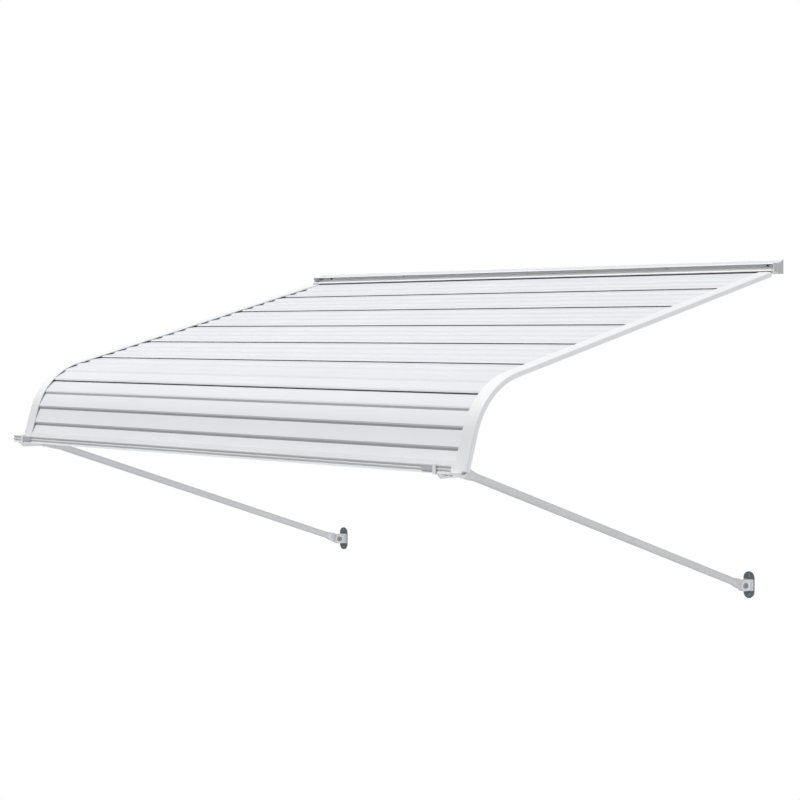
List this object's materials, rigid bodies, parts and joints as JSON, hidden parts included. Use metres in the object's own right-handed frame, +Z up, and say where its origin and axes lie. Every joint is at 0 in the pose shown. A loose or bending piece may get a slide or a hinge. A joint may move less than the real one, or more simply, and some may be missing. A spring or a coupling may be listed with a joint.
{
  "type": "door canopy",
  "caption": "Curved door canopy of ribbed interlocking panels on a bent frame, hinged to a wall rail and held up by toed-in tube arms with wall brackets.",
  "frame": {"origin": "middle of the wall rail's back face, where it lies on the wall", "axes": "+Y into the wall, +Z up, +X to the right when facing the wall"},
  "size_m": [1.524, 0.9568, 0.725],
  "materials": {
    "panel_white": "satin white coating on aluminium sheet",
    "frame_white": "satin white powder coat on aluminium",
    "clip_grey": "satin",
    "saddle_grey": "satin",
    "plate_grey": "satin",
    "bolt_steel": "zinc plated"
  },
  "bodies": {
    "wall_rail": {"wall_rail": "frame_white"},
    "canopy": {"hinge_bar": "frame_white", "panel_1": "panel_white", "panel_2": "panel_white", "panel_3": "panel_white", "panel_4": "panel_white", "panel_5": "panel_white", "panel_6": "panel_white", "panel_7": "panel_white", "side_rail_left": "frame_white", "side_rail_right": "frame_white", "front_bar": "frame_white", "bar_clip_left": "clip_grey", "bar_collar_left": "frame_white", "corner_bracket_left": "frame_white", "front_bolt_left": "bolt_steel", "bar_clip_right": "clip_grey", "bar_collar_right": "frame_white", "corner_bracket_right": "frame_white", "front_bolt_right": "bolt_steel"},
    "arm_left": {"arm_left": "frame_white"},
    "wall_bracket_left": {"wall_saddle_left": "saddle_grey", "wall_plate_left": "plate_grey", "wall_bolt_left": "bolt_steel"},
    "arm_right": {"arm_right": "frame_white"},
    "wall_bracket_right": {"wall_saddle_right": "saddle_grey", "wall_plate_right": "plate_grey", "wall_bolt_right": "bolt_steel"}
  },
  "joints": [
    {"name": "canopy_hinge", "type": "hinge", "parent": "wall_rail", "child": "canopy", "pos_m": [0, -0.013, -0.006], "axis": [-1, 0, 0], "range_deg": [0, 25]},
    {"name": "arm_pivot_left", "type": "hinge", "parent": "canopy", "child": "arm_left", "pos_m": [-0.714, -0.89099, -0.39521], "axis": [0.999, -0.0437, 0], "range_deg": [-70, 35]},
    {"name": "bracket_pivot_left", "type": "hinge", "parent": "arm_left", "child": "wall_bracket_left", "pos_m": [-0.676, -0.022, -0.681], "axis": [0.999, -0.0437, 0], "range_deg": [-60, 60]},
    {"name": "arm_pivot_right", "type": "hinge", "parent": "canopy", "child": "arm_right", "pos_m": [0.714, -0.89099, -0.39521], "axis": [0.999, 0.0437, 0], "range_deg": [-70, 35]},
    {"name": "bracket_pivot_right", "type": "hinge", "parent": "arm_right", "child": "wall_bracket_right", "pos_m": [0.676, -0.022, -0.681], "axis": [0.999, 0.0437, 0], "range_deg": [-60, 60]}
  ]
}
